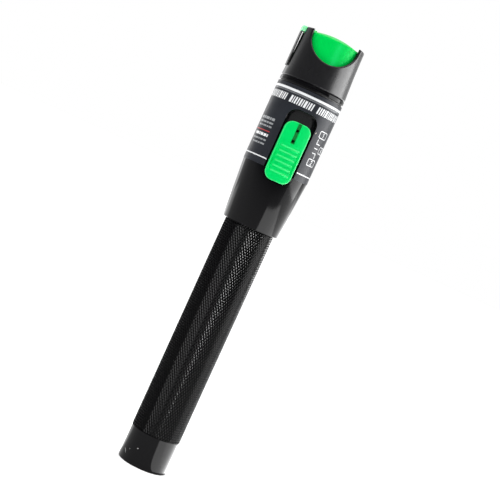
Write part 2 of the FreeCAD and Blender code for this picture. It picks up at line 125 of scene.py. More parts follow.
def finish(name, colour, rough, metallic=0.0, vary=0.15, vary_mm=4.0, rough_spread=0.05, bump=0.0,
           bump_mm=0.25, stretch=(1, 1, 1), specular=0.5, coat=0.0, subsurface=0.0,
           transmission=0.0, speck=0.0, speck_mm=0.3, tint=(1, 1, 1)):
    """Procedural material: slow colour drift, uneven roughness, fine bump and, if asked for, light specks."""
    mat = bpy.data.materials.new(name)
    mat.use_nodes = True
    tree = mat.node_tree
    link = tree.links.new
    shader = tree.nodes["Principled BSDF"]
    shader.inputs["Metallic"].default_value = metallic
    shader.inputs["Specular IOR Level"].default_value = specular
    shader.inputs["Specular Tint"].default_value = (*tint, 1)
    shader.inputs["IOR"].default_value = 1.5
    shader.inputs["Coat Weight"].default_value = coat
    shader.inputs["Coat Roughness"].default_value = 0.08
    shader.inputs["Subsurface Weight"].default_value = subsurface
    shader.inputs["Subsurface Scale"].default_value = 0.0008
    shader.inputs["Transmission Weight"].default_value = transmission
    where = node(tree, "ShaderNodeTexCoord")
    scaled = node(tree, "ShaderNodeMapping")
    scaled.inputs["Scale"].default_value = stretch
    link(where.outputs["Object"], scaled.inputs["Vector"])
    drift = node(tree, "ShaderNodeTexNoise", Scale=1 / (vary_mm * MM), Detail=5.0, Roughness=0.6)
    link(scaled.outputs["Vector"], drift.inputs["Vector"])
    ramp = node(tree, "ShaderNodeValToRGB")
    dark, light = ramp.color_ramp.elements
    dark.position, light.position = 0.3, 0.7
    dark.color = [c * (1 - vary) for c in colour] + [1]
    light.color = [min(1, c * (1 + vary)) for c in colour] + [1]
    link(drift.outputs["Fac"], ramp.inputs["Fac"])
    base = ramp.outputs["Color"]
    if speck:
        dots = node(tree, "ShaderNodeTexNoise", Scale=1 / (speck_mm * MM), Detail=2.0)
        link(where.outputs["Object"], dots.inputs["Vector"])
        mask = node(tree, "ShaderNodeValToRGB")
        mask.color_ramp.elements[0].position = 0.62
        mask.color_ramp.elements[1].position = 0.75
        link(dots.outputs["Fac"], mask.inputs["Fac"])
        lift = node(tree, "ShaderNodeMix", data_type="RGBA", blend_type="ADD")
        lift.inputs["B"].default_value = (speck, speck, speck, 1)
        link(mask.outputs["Color"], lift.inputs["Factor"])
        link(base, lift.inputs["A"])
        base = lift.outputs["Result"]
    link(base, shader.inputs["Base Color"])
    spread = node(tree, "ShaderNodeMapRange")
    spread.inputs["From Min"].default_value = 0.3
    spread.inputs["From Max"].default_value = 0.7
    spread.inputs["To Min"].default_value = max(0.02, rough - rough_spread)
    spread.inputs["To Max"].default_value = rough + rough_spread
    uneven = node(tree, "ShaderNodeTexNoise", Scale=2.5 / (vary_mm * MM), Detail=6.0)
    link(scaled.outputs["Vector"], uneven.inputs["Vector"])
    link(uneven.outputs["Fac"], spread.inputs["Value"])
    link(spread.outputs["Result"], shader.inputs["Roughness"])
    if bump:
        fine = node(tree, "ShaderNodeTexNoise", Scale=1 / (bump_mm * MM), Detail=4.0)
        link(scaled.outputs["Vector"], fine.inputs["Vector"])
        raised = node(tree, "ShaderNodeBump", Strength=bump, Distance=0.05 * MM)
        link(fine.outputs["Fac"], raised.inputs["Height"])
        link(raised.outputs["Normal"], shader.inputs["Normal"])
    return mat


TURNED = (1, 1, 14)
gloss_black = finish("gloss_black_metal", (0.0015, 0.0015, 0.002), 0.09, vary_mm=3, rough_spread=0.03,
                     bump=0.02, bump_mm=0.4, stretch=TURNED, specular=0.11)
knurl_black = finish("knurled_black_metal", (0.001, 0.001, 0.0012), 0.13, vary_mm=6, rough_spread=0.03,
                     bump=0.03, bump_mm=0.1, specular=0.06)
label_film = finish("label_film", (0.018, 0.02, 0.025), 0.36, vary_mm=8, rough_spread=0.04, bump=0.06,
                    bump_mm=0.12, speck=0.008, speck_mm=0.35, specular=0.13)
ink_white = finish("label_ink_white", (0.72, 0.73, 0.74), 0.42, vary=0.06, bump=0.1, bump_mm=0.1)
ink_grey = finish("label_ink_grey", (0.26, 0.27, 0.28), 0.42, vary=0.1, bump=0.1, bump_mm=0.1)
ink_red = finish("label_ink_red", (0.45, 0.02, 0.02), 0.42, vary=0.1, bump=0.1, bump_mm=0.1)
green = finish("green_plastic", (0.0, 0.62, 0.115), 0.38, vary=0.03, vary_mm=6, rough_spread=0.04,
               bump=0.03, bump_mm=0.25, subsurface=0.1, specular=0.35, tint=(0.1, 1.0, 0.6))
cap_green = finish("green_plastic_cap", (0.0, 0.56, 0.075), 0.36, vary=0.03, vary_mm=6, rough_spread=0.04,
                   bump=0.03, bump_mm=0.25, subsurface=0.1, specular=0.09, tint=(0.1, 1.0, 0.6))
# Lighter mint for the slider's border band and rib crowns: painted highlight where the rounded edges and rib
# tops catch light.
slider_painted_highlight = finish("green_plastic_painted_highlight", (0.03, 0.72, 0.19), 0.4, vary=0.04, vary_mm=2, bump=0.03,
                     bump_mm=0.25, subsurface=0.1, specular=0.25)
# Lighter mint for the dust cap's lip: painted light, a lighter copy of the cap's green, on top of the lip's
# real translucency (subsurface).
cap_lip_painted_light = finish("green_plastic_lip_painted_light", (0.22, 0.82, 0.38), 0.4, vary=0.05, vary_mm=2, bump=0.03,
                    subsurface=0.2, specular=0.4)
# Darker green for the slider's groove: painted shade in the recess.
groove_painted_shade = finish("green_plastic_groove_painted_shade", (0.0, 0.17, 0.028), 0.35, vary=0.05, bump=0.03, specular=0.3)
# Near-black for the floors of the slider's holes: painted shade standing for their depth.
hole_shadow = finish("slider_hole_painted_shade", (0.004, 0.012, 0.006), 0.5, vary=0.1, bump=0.05, specular=0.1)
satin_black = finish("satin_black_plastic", (0.0035, 0.0035, 0.0045), 0.31, vary_mm=4, rough_spread=0.04,
                     bump=0.1, bump_mm=0.2, specular=0.37)
gloss_plastic = finish("gloss_black_plastic", (0.008, 0.008, 0.009), 0.14, vary_mm=3, bump=0.06, bump_mm=0.5)
black_plastic = finish("black_plastic", (0.02, 0.02, 0.02), 0.45, bump=0.2, bump_mm=0.15)
strap_rubber = finish("strap_rubber", (0.014, 0.014, 0.014), 0.55, vary_mm=2, bump=0.25, bump_mm=0.15)
seal_rubber = finish("seal_rubber", (0.012, 0.012, 0.012), 0.5, bump=0.15, bump_mm=0.1)
nickel = finish("nickel", (0.66, 0.64, 0.6), 0.2, 1.0, vary=0.08, stretch=TURNED, bump=0.08)
brass = finish("brass", (0.62, 0.44, 0.18), 0.25, 1.0, vary=0.12, stretch=TURNED, bump=0.1)
gold_can = finish("gold_can", (0.85, 0.62, 0.26), 0.18, 1.0, vary=0.08, bump=0.05)
bare_aluminium = finish("bare_aluminium", (0.74, 0.74, 0.76), 0.28, 1.0, vary=0.06, stretch=TURNED, bump=0.12)
spring_steel = finish("spring_steel", (0.58, 0.58, 0.6), 0.24, 1.0, vary=0.1, bump=0.08)
battery_jacket = finish("battery_jacket", (0.16, 0.18, 0.2), 0.3, 0.6, vary_mm=9, bump=0.05, coat=0.3)
laminate = finish("board_laminate", (0.02, 0.2, 0.07), 0.35, vary_mm=1.2, bump=0.15, bump_mm=0.3, coat=0.4)
capacitor_can = finish("capacitor_can", (0.68, 0.68, 0.7), 0.3, 1.0, vary=0.08, bump=0.08)
ceramic_black = finish("resistor_ceramic", (0.07, 0.07, 0.08), 0.4, bump=0.2, bump_mm=0.1)
red_wire = finish("red_wire", (0.5, 0.02, 0.02), 0.35, bump=0.08)
lens_glass = finish("lens_glass", (0.92, 0.96, 1.0), 0.04, vary=0.02, rough_spread=0.01, transmission=0.95)
zirconia = finish("white_ceramic", (0.86, 0.85, 0.8), 0.16, vary=0.04, bump=0.03, subsurface=0.15)
wear_metal = finish("worn_metal", (0.6, 0.6, 0.6), 0.35, 0.7, vary=0.2, vary_mm=0.6, bump=0.2, bump_mm=0.1)
dust_speck = finish("dust_speck", (0.62, 0.55, 0.42), 0.7, vary=0.25, vary_mm=0.5, bump=0.3, bump_mm=0.1)

NODE_FINISH = {
    "tail_cap": gloss_black, "tail_seal": seal_rubber, "tail_contact": nickel, "tail_spring": spring_steel,
    "battery_rear": battery_jacket, "battery_front": battery_jacket, "grip_tube": knurl_black,
    "grip_seal": seal_rubber, "barrel": gloss_black, "label_wrap": label_film, "switch_slider": green,
    "switch_bed": gloss_plastic, "slide_switch": black_plastic, "switch_lever": black_plastic,
    "module_carrier": black_plastic, "front_contact": nickel, "battery_lead": red_wire,
    "circuit_board": laminate, "driver_chip": ceramic_black, "capacitor": capacitor_can,
    "board_resistors": ceramic_black, "laser_holder": brass, "laser_diode": gold_can,
    "collimating_lens": lens_glass, "bulkhead": bare_aluminium, "grub_screws": spring_steel,
    "head_gasket": seal_rubber, "collar_ring": gloss_black, "head_shroud": satin_black,
    "port_bushing": nickel, "ferrule_sleeve": zirconia, "port_nut": nickel, "dust_cap": cap_green,
    "pull_strap": strap_rubber,
}
SMOOTH_BELOW = math.radians(32)
for name, mat in NODE_FINISH.items():
    mesh = frame["nodes"][name].data
    mesh.materials.clear()
    mesh.materials.append(mat)
    mesh.shade_smooth()
    mesh.set_sharp_from_angle(angle=SMOOTH_BELOW)
cap_mesh = frame["nodes"]["dust_cap"].data
# Faces of the lip beyond the cap's side get the lighter painted-light green.
cap_mesh.materials.append(cap_lip_painted_light)
lip_root_x = -high("dust_cap").x * MM
for face in cap_mesh.polygons:
    if min(cap_mesh.vertices[v].co.x for v in face.vertices) < lip_root_x - 0.5 * MM:
        face.material_index = 1


# ---------------------------------------------------------------- mesh helpers

def make_piece(name, body, slot, verts, faces, mats, face_mats=None, sharp=SMOOTH_BELOW, stands_for=()):
    """Blender object from points in millimetres, merged where they meet, with outward faces."""
    mesh = bpy.data.meshes.new(name)
    mesh.from_pydata([tuple(c * MM for c in v) for v in verts], [], faces)
    for mat in mats:
        mesh.materials.append(mat)
    if face_mats is not None:
        mesh.polygons.foreach_set("material_index", face_mats)
    merge_and_orient(mesh)
    mesh.shade_smooth()
    mesh.set_sharp_from_angle(angle=sharp)
    piece = bpy.data.objects.new(name, mesh)
    bpy.context.scene.collection.objects.link(piece)
    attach(piece, body)
    if stands_for:
        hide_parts(*stands_for)
    return piece


def merge_and_orient(mesh):
    bm = bmesh.new()
    bm.from_mesh(mesh)
    bmesh.ops.remove_doubles(bm, verts=bm.verts, dist=0.002 * MM)
    bmesh.ops.recalc_face_normals(bm, faces=bm.faces)
    bm.to_mesh(mesh)
    bm.free()
    mesh.update()


def rounded(points, steps=5):
    """Section outline from (radius, height, fillet) corners, with each fillet as an arc."""
    out = []
    count = len(points)
    for i, (r, z, fillet) in enumerate(points):
        if not fillet:
            out.append((r, z))
            continue
        here = Vector((r, z))
        back = (Vector(points[i - 1][:2]) - here).normalized()
        ahead = (Vector(points[(i + 1) % count][:2]) - here).normalized()
        half = back.angle(ahead) / 2
        reach = fillet / math.tan(half)
        centre = here + (back + ahead).normalized() * (fillet / math.sin(half))
        start = here + back * reach - centre
        end = here + ahead * reach - centre
        turn = start.angle_signed(end)
        for k in range(steps + 1):
            a = -turn * k / steps
            out.append((centre.x + start.x * math.cos(a) - start.y * math.sin(a),
                        centre.y + start.x * math.sin(a) + start.y * math.cos(a)))
    return out


def lathe(points, segments=256):
    """Points and faces of a closed section turned about the axis; a radius of 0 is a pole."""
    verts, faces, rings = [], [], []
    for r, z in points:
        if r < 1e-6:
            rings.append([len(verts)] * segments)
            verts.append((0, 0, z))
        else:
            rings.append(range(len(verts), len(verts) + segments))
            for k in range(segments):
                a = TAU * k / segments
                verts.append((r * math.cos(a), r * math.sin(a), z))
    for i, ring in enumerate(rings):
        other = rings[(i + 1) % len(rings)]
        for k in range(segments):
            n = (k + 1) % segments
            corners = list(dict.fromkeys((ring[k], ring[n], other[n], other[k])))
            if len(corners) > 2:
                faces.append(corners)
    return verts, faces


class Shape:
    """Points, faces and face materials of a piece in the making."""

    def __init__(self):
        self.verts, self.faces, self.mats = [], [], []

    def add(self, verts, faces, mat=0):
        start = len(self.verts)
        self.verts += [tuple(v) for v in verts]
        self.faces += [[start + i for i in face] for face in faces]
        self.mats += list(mat) if hasattr(mat, "__len__") else [mat] * len(faces)

    def bridge(self, loop_a, loop_b, mat=0, closed=True):
        """Strip between two rows of the same number of points."""
        count = len(loop_a)
        span = range(count if closed else count - 1)
        faces = [[i, (i + 1) % count, count + (i + 1) % count, count + i] for i in span]
        self.add(list(loop_a) + list(loop_b), faces, mat)

    def piece(self, name, body, slot, mats, **more):
        return make_piece(name, body, slot, self.verts, self.faces, mats, self.mats, **more)


def inside_loop(points, loop):
    """True for each of the points that lies in the closed loop."""
    x, y = points[:, 0], points[:, 1]
    inside = np.zeros(len(points), bool)
    x0, y0 = loop[-1]
    for x1, y1 in loop:
        if y0 != y1:
            crosses = (y0 > y) != (y1 > y)
            inside ^= crosses & (x < (x1 - x0) * (y - y0) / (y1 - y0) + x0)
        x0, y0 = x1, y1
    return inside


def fill_plane(outer, holes=(), marks=(), spacing=0.5, extra=()):
    """Triangles over a plane region. outer and holes bound it, and marks are closed loops drawn on it.

    Returns the points, the triangles, and for each triangle the number of the last mark that holds it, or -1.
    """
    loops = [outer, *holes, *marks, *extra]
    points, edges = [], []
    for loop in loops:
        start, count = len(points), len(loop)
        points += [tuple(p) for p in loop]
        edges += [(start + i, start + (i + 1) % count) for i in range(count)]
    box_lo, box_hi = np.min(outer, axis=0), np.max(outer, axis=0)
    nx, ny = (max(1, round(side / spacing)) for side in box_hi - box_lo)
    xs = np.linspace(box_lo[0], box_hi[0], nx + 1)[1:-1]
    ys = np.linspace(box_lo[1], box_hi[1], ny + 1)[1:-1]
    stagger, clearance = 0.125 * spacing, 0.22 * spacing
    grid = np.array([(x + (stagger if row % 2 else -stagger), y)
                     for row, y in enumerate(ys) for x in xs]).reshape(-1, 2)
    keep = inside_loop(grid, outer)
    for hole in holes:
        keep &= ~inside_loop(grid, hole)
    edge_points = np.array(points)
    batch = 512
    for first in range(0, len(grid), batch):
        part = grid[first:first + batch]
        gap = np.abs(part[:, None, :] - edge_points[None, :, :]).max(axis=2).min(axis=1)
        keep[first:first + batch] &= gap > clearance
    points += [tuple(p) for p in grid[keep]]
    out = delaunay_2d_cdt([Vector(p) for p in points], edges, [], 0, 1e-6)
    coords = np.array([tuple(v) for v in out[0]])
    tris = np.array([f for f in out[2] if len(f) == 3])
    middles = coords[tris].mean(axis=1)
    ok = inside_loop(middles, outer)
    for hole in holes:
        ok &= ~inside_loop(middles, hole)
    tris, middles = tris[ok], middles[ok]
    tag = np.full(len(tris), -1)
    for number, mark in enumerate(marks):
        tag[inside_loop(middles, mark)] = number
    return coords, tris, tag


def rounded_loop(cx, cz, half_w, half_l, corner, step=0.25):
    """Rounded rectangle as a loop of points, with corner arcs and evenly divided sides."""
    corner = min(corner, half_w, half_l)
    arc_steps = max(2, round(corner * math.pi / 2 / step)) if corner > 1e-6 else 0
    corners = []
    for sx, sz, first in ((1, -1, -90), (1, 1, 0), (-1, 1, 90), (-1, -1, 180)):
        x, z = cx + sx * (half_w - corner), cz + sz * (half_l - corner)
        arc = [math.radians(first + 90 * k / max(1, arc_steps)) for k in range(arc_steps + 1)]
        corners.append([(x + corner * math.cos(a), z + corner * math.sin(a)) for a in arc])
    loop = []
    for arc, following in zip(corners, corners[1:] + corners[:1]):
        loop += arc
        start, end = np.array(arc[-1]), np.array(following[0])
        pieces = max(1, round(float(np.linalg.norm(end - start)) / step))
        loop += [tuple(start + (end - start) * k / pieces) for k in range(1, pieces)]
    return tidy_loop(loop)


def tidy_loop(loop):
    """The loop without repeated points."""
    kept = []
    for p in loop:
        if not kept or math.dist(p, kept[-1]) > 1e-5:
            kept.append(tuple(float(c) for c in p))
    while math.dist(kept[0], kept[-1]) < 1e-5:
        kept.pop()
    return kept


def on_front(x, z, r):
    """Point on the front of a cylinder of radius r, straight behind (x, z)."""
    return (x, -math.sqrt(max(0.0, r * r - x * x)), z)


def at_angle(s, z, r, flat_r):
    """Point of an unrolled sheet: s runs along an arc of radius flat_r, from -Y towards +X."""
    a = s / flat_r
    return (r * math.sin(a), -r * math.cos(a), z)


# ---------------------------------------------------------------- tail cap

def build_tail_cap():
    floor_z = joint_z + seal_groove[0]
    groove_r = tail_spigot_r - seal_groove[2]
    section = [
        (0, 0, 0), (tail_r, 0, 0.6), (tail_r, joint_z, 0.18), (tail_spigot_r, joint_z, 0),
        (tail_spigot_r, floor_z, 0), (groove_r, floor_z, 0), (groove_r, floor_z + seal_groove[1], 0),
        (tail_spigot_r, floor_z + seal_groove[1], 0), (tail_spigot_r, tail_spigot_z1, 0.35),
        (tail_bore_r, tail_spigot_z1, 0), (tail_bore_r, tail_floor, 0), (0, tail_floor, 0)]
    verts, faces = lathe(rounded(section, 8))
    make_piece("tail_cap_turned", "tail_cap", "gloss_black_metal", verts, faces, [gloss_black],
               stands_for=["tail_cap"])


# ---------------------------------------------------------------- knurled grip

knurl_starts = 56
knurl_angle = math.radians(30)
knurl_depth = 0.25
knurl_relief = 0.15
knurl_levels = ((0.42, 0.14), (0.2, 0.0))
under_knurl = 0.12


def build_grip():
    """Tube whose outside is a diamond knurl: each diamond is a low pyramid with a rounded, flattened top."""
    pitch = TAU / knurl_starts
    width = grip_r * pitch
    z0 = joint_z + knurl_relief
    rows = round((cone_z0 - z0) / (width / math.tan(knurl_angle) / 2))
    row_h = (cone_z0 - z0) / rows
    valley_r = grip_r - knurl_depth
    inner_r = valley_r - under_knurl

    def cross(row, i):
        return (valley_r, (i + (row % 2) / 2) * pitch, z0 + row * row_h)

    def point(p):
        r, a, z = p
        return (r * math.cos(a), r * math.sin(a), z)

    shape = Shape()
    for row in range(rows + 1):
        for i in range(knurl_starts):
            left, right = cross(row, i), cross(row, i + 1)
            middle = (grip_r, (left[1] + right[1]) / 2, left[2])
            corners = [left]
            if row > 0:
                corners.append((valley_r, middle[1], middle[2] - row_h))
            corners.append(right)
            if row < rows:
                corners.append((valley_r, middle[1], middle[2] + row_h))
            whole = len(corners) == 4
            rings = [[point(c) for c in corners]]
            for share, drop in knurl_levels:
                rings.append([point((grip_r - drop * knurl_depth,
                                     middle[1] + (c[1] - middle[1]) * share,
                                     middle[2] + (c[2] - middle[2]) * share)) for c in corners])
            for a, b in zip(rings, rings[1:]):
                if whole:
                    shape.bridge(a, b)
                elif row == 0:
                    shape.bridge(a[1:] + a[:1], b[1:] + b[:1], closed=False)
                else:
                    shape.bridge(a, b, closed=False)
            shape.add(rings[-1], [range(len(corners))])
            if not whole:
                ends = (0, 1) if row == 0 else (0, 2)
                rim = [ring[ends[0]] for ring in rings] + [ring[ends[1]] for ring in reversed(rings)]
                inner = [point((inner_r, right[1], left[2])), point((inner_r, middle[1], left[2])),
                         point((inner_r, left[1], left[2]))]
                shape.add(rim + inner, [range(len(rim) + 3)])
    socket_r = tail_spigot_r + screw_fit
    socket_z1 = tail_spigot_z1 + end_gap
    groove_z0 = cone_z0 + seal_groove[0]
    groove_r = grip_spigot_r - seal_groove[2]
    ring_segments = 2 * knurl_starts
    section = [(inner_r, z0), (inner_r, joint_z), (socket_r, joint_z), (socket_r, socket_z1),
               (grip_bore_r, socket_z1), (grip_bore_r, grip_end_z), (grip_spigot_r - 0.35, grip_end_z),
               (grip_spigot_r, grip_end_z - 0.35), (grip_spigot_r, groove_z0 + seal_groove[1]),
               (groove_r, groove_z0 + seal_groove[1]), (groove_r, groove_z0), (grip_spigot_r, groove_z0),
               (grip_spigot_r, cone_z0), (inner_r, cone_z0)]
    verts, faces = lathe(section, ring_segments)
    shape.add(verts, faces[:-ring_segments])
    shape.piece("grip_knurled", "pen", "knurled_black_metal", [knurl_black], sharp=math.radians(28),
                stands_for=["grip_tube"])


# ---------------------------------------------------------------- barrel

window_bevel = 0.18


def window_loop(margin=0.0, step=0.25):
    middle = (window_z0 + window_z1) / 2
    return rounded_loop(0, middle, window_half_w + margin, middle - window_z0 + margin,
                        window_corner + margin, step)


def full_strip(flat_r, z0, z1, segments):
    """Unrolled outline of a whole cylinder, with its ends divided evenly."""
    half = math.pi * flat_r
    bottom = [(-half + 2 * half * k / segments, z0) for k in range(segments + 1)]
    top = [(half - 2 * half * k / segments, z1) for k in range(segments + 1)]
    rises = max(1, round((z1 - z0) / 1.0))
    right = [(half, z0 + (z1 - z0) * k / rises) for k in range(1, rises)]
    left = [(-half, z1 - (z1 - z0) * k / rises) for k in range(1, rises)]
    return bottom + right + top + left


def unrolled(loop, r, flat_r):
    """A loop cut straight through from the front, as it lies on the unrolled cylinder of radius r."""
    return [(flat_r * math.asin(max(-1.0, min(1.0, x / r))), z) for x, z in loop]


def ring_points(r, z, segments):
    return [at_angle((-math.pi + TAU * k / segments) * r, z, r, r) for k in range(segments)]


def build_barrel():
    segments = 240
    edge = 0.25
    shape = Shape()
    opening = window_loop()
    wide = window_loop(window_bevel)
    for r, hole, z0 in ((barrel_r, wide, cone_z1), (cavity_r, opening, grip_end_z + end_gap)):
        z1 = barrel_z1 - edge if r == barrel_r else barrel_z1
        flat_hole = unrolled(hole, r, r)
        points, tris, _ = fill_plane(full_strip(r, z0, z1, segments), [flat_hole], spacing=1.0)
        shape.add([at_angle(s, z, r, r) for s, z in points], tris.tolist())
    shape.bridge([on_front(x, z, barrel_r) for x, z in wide],
                 [on_front(x, z, barrel_r - window_bevel) for x, z in opening])
    shape.bridge([on_front(x, z, barrel_r - window_bevel) for x, z in opening],
                 [on_front(x, z, cavity_r) for x, z in opening])
    socket_r = grip_spigot_r + screw_fit
    foot = [(cavity_r, grip_end_z + end_gap), (socket_r, grip_end_z + end_gap), (socket_r, cone_z0),
            (cone_low_r - 0.3, cone_z0), (cone_low_r - 0.09, cone_z0 + 0.09), (cone_low_r, cone_z0 + 0.3),
            (barrel_r - 0.02, cone_z1 - 0.25), (barrel_r, cone_z1)]
    head = [(barrel_r, barrel_z1 - edge), (barrel_r - 0.07, barrel_z1 - 0.07), (barrel_r - edge, barrel_z1),
            (cavity_r, barrel_z1)]
    for section in (foot, head):
        for (r0, za), (r1, zb) in zip(section, section[1:]):
            shape.bridge(ring_points(r0, za, segments), ring_points(r1, zb, segments))
    shape.piece("barrel_turned", "pen", "gloss_black_metal", [gloss_black], stands_for=["barrel"])


# ---------------------------------------------------------------- printed label

def bar(s, z, half_w, half_h, corner=0.04, lean=0.0):
    """Printed bar centred at (s, z); lean slants its ends."""
    loop = rounded_loop(s, z, half_w, half_h, corner, 0.5)
    return [(a + lean * (b - z), b) for a, b in loop]


def outlined(s, z, half_w, half_h, line, corner):
    """A rounded box drawn as a line: the white box and the bare film inside it."""
    return [(WHITE, bar(s, z, half_w, half_h, corner)),
            (FILM, bar(s, z, half_w - line, half_h - line, corner - line * 0.7))]


FILM, WHITE, GREY, RED = range(4)
DIGITS = {
    "1": [[(-0.05, -0.5), (0.12, -0.5), (0.12, 0.5), (-0.02, 0.5), (-0.24, 0.34), (-0.15, 0.22),
           (-0.05, 0.3)]],
    "2": [[(-0.3, -0.5), (0.3, -0.5), (0.3, -0.34), (-0.06, -0.34), (0.26, 0.04), (0.31, 0.22), (0.26, 0.38),
           (0.12, 0.48), (-0.1, 0.5), (-0.28, 0.38), (-0.31, 0.2), (-0.15, 0.18), (-0.11, 0.3), (0.0, 0.35),
           (0.11, 0.32), (0.14, 0.22), (0.1, 0.1), (-0.3, -0.38)]],
}


def digit(name, s, z, height):
    """A plain digit in white; a nought is a rounded box with bare film in it."""
    if name == "0":
        return outlined(s, z, 0.31 * height, 0.5 * height, 0.17 * height, 0.28 * height)
    return [(WHITE, [(s + height * a, z + height * b) for a, b in loop]) for loop in DIGITS[name]]


def word_bars(s0, s1, z, half_h, ink):
    """A line of small print as short bars of uneven length, set flush to its right end."""
    lengths = (1.5, 0.8, 2.1, 1.1, 1.7, 0.6, 1.3)
    gap, bars, s, k = 0.3, [], s1, round(7 * z)
    while s > s0 + 0.4:
        length = min(lengths[k % len(lengths)], s - s0)
        bars.append((ink, bar(s - length / 2, z, length / 2, half_h)))
        s -= length + gap
        k += 1
    return bars


def title_bars(s0, s1, z, half_h, start):
    """A slanted run of plain bars, thick and thin by turns, that fills the length from s0 to s1."""
    widths = (0.62, 0.38, 0.85, 0.38, 0.62, 0.5)
    gap, bars, s, k = 0.42, [], s0, start
    while s + widths[k % len(widths)] <= s1 + 0.01:
        width = widths[k % len(widths)]
        bars.append((WHITE, bar(s + width / 2, z, width / 2, half_h, lean=0.13)))
        s += width + gap
        k += 1
    return bars


# Places on the unrolled label: heights from the foot of the pen, lengths from the middle of the window.
print_margin = 0.6
top_band_z, top_band_half = 151.9, 0.45
hairline_zs, hairline_half = (151.14, 150.88), 0.05
title_z, title_half = 148.7, 1.35
title_runs = ((-20.9, -8.7), (-7.8, 2.4), (3.6, 17.9))
foot_line_z, foot_line_half, foot_line_gap = 124.8, 0.22, 0.15
note_end = -9.95
note_lines = (  # height, start, half height, ink
    (138.95, -19.5, 0.5, GREY), (137.35, -20.0, 0.34, GREY), (135.95, -19.0, 0.3, GREY),
    (132.65, -18.5, 0.52, WHITE), (130.8, -20.0, 0.3, GREY), (129.3, -18.2, 0.3, GREY))
red_line = (-14.6, 134.2, 4.65, 0.15)
position_boxes = (("1", 11.4, 141.2), ("0", 15.2, 135.7), ("2", 11.4, 130.2))
box_half, box_line, box_corner = (2.5, 1.42), 0.3, 0.6
digit_height = 1.75
mark_s, mark_half = 10.55, 0.16
tick_z, tick_half_w = 135.7, 1.1
elbows = ((137.45, -1), (133.85, 1))
elbow_half_w, elbow_out, elbow_drop, elbow_half_h = 1.15, 1.0, 0.85, 0.9


def label_print():
    """Everything printed on the label, as (ink number, closed loop) in unrolled millimetres."""
    edge = math.pi * label_r - print_margin
    window_half = label_r * math.asin((window_half_w + label_gap) / label_r)
    marks = [(WHITE, bar(0, top_band_z, edge, top_band_half))]
    marks += [(GREY, bar(0, z, edge, hairline_half)) for z in hairline_zs]
    for start, (s0, s1) in enumerate(title_runs):
        marks += title_bars(s0, s1, title_z, title_half, 2 * start)
    inner = window_half + foot_line_gap
    for side in (-1, 1):
        marks.append((WHITE, bar(side * (inner + edge) / 2, foot_line_z, (edge - inner) / 2, foot_line_half)))
    for z, s0, half_h, ink in note_lines:
        marks += word_bars(s0, note_end, z, half_h, ink)
    marks.append((RED, bar(*red_line)))
    # switch positions: boxed digits, elbows between them and a tick in the middle
    for name, s, z in position_boxes:
        marks += outlined(s, z, *box_half, box_line, box_corner)
        marks += digit(name, s, z, digit_height)
    for z, side in elbows:
        marks.append((WHITE, bar(mark_s, z, elbow_half_w, mark_half)))
        marks.append((WHITE, bar(mark_s + side * elbow_out, z - side * elbow_drop, mark_half, elbow_half_h)))
    marks.append((WHITE, bar(mark_s, tick_z, tick_half_w, mark_half)))
    return marks


def build_label():
    half = math.pi * label_r - label_seam_half
    z0, z1 = cone_z1, label_z1
    middle_z, half_h = (z0 + z1) / 2, (z1 - z0) / 2
    outer = rounded_loop(0, middle_z, half, half_h, 0.0, 0.5)
    hole = unrolled(window_loop(label_gap), label_r, label_r)
    marks = label_print()
    points, tris, tag = fill_plane(outer, [hole], [loop for _, loop in marks], spacing=0.6)
    under_r = barrel_r + label_lift
    ink = np.array([FILM] + [number for number, _ in marks])
    shape = Shape()
    shape.add([at_angle(s, z, label_r, label_r) for s, z in points], tris.tolist(), ink[tag + 1].tolist())
    under, under_tris, _ = fill_plane(outer, [hole], spacing=1.2)
    shape.add([at_angle(s, z, under_r, label_r) for s, z in under], under_tris.tolist())
    for loop in (outer, hole):
        shape.bridge([at_angle(s, z, label_r, label_r) for s, z in loop],
                     [at_angle(s, z, under_r, label_r) for s, z in loop])
    shape.piece("label_printed", "pen", "label_film", [label_film, ink_white, ink_grey, ink_red],
                stands_for=["label_wrap"])


# ---------------------------------------------------------------- switch slider

def ramp(value, low_end, high_end):
    """0 below low_end, 1 above high_end, straight between."""
    return min(1.0, max(0.0, (value - low_end) / (high_end - low_end)))


def depth_in_box(x, z, cx, cz, half_w, half_l, corner):
    """How far (x, z) lies inside a rounded rectangle; negative outside."""
    dx, dz = abs(x - cx) - half_w + corner, abs(z - cz) - half_l + corner
    return corner - (math.hypot(max(dx, 0), max(dz, 0)) + min(max(dx, dz), 0))


slider_edge = 0.45
dish_top = slider_z1 - 8.6
dish_len = 12.7
dish_half_w = 4.45
dish_depth = 0.7
dish_corner = 2.2
wall_run = 0.08
groove_box = (0, slider_z1 - 4.1, 0.7, 3.95, 0.15)
groove_depth = 0.55
hole_tops = (2.9, 7.0)
hole_r = 0.58
hole_depth = 0.9
hole_wall_run = 0.05
first_rib, rib_pitch, rib_count = 9.75, 1.98, 6
rib_tops = [slider_z1 - first_rib - rib_pitch * k for k in range(rib_count)]
rib_core_half = 3.25
rib_profile = ((0.62, 0.0), (0.5, 0.05), (0.38, 0.19), (0.26, 0.34), (0.14, 0.43), (0.04, 0.46))
rib_crown = 0.26


def rib_height(x, z):
    """Height of the thumb ribs above the dish floor at (x, z)."""
    for rib_z in rib_tops:
        away = max(abs(z - rib_z), abs(x) - rib_core_half)
        if away < rib_profile[0][0]:
            for (far, a), (near, b) in zip(rib_profile, rib_profile[1:]):
                if away >= near:
                    return a + (b - a) * (far - away) / (far - near)
            return rib_profile[-1][1]
    return 0.0


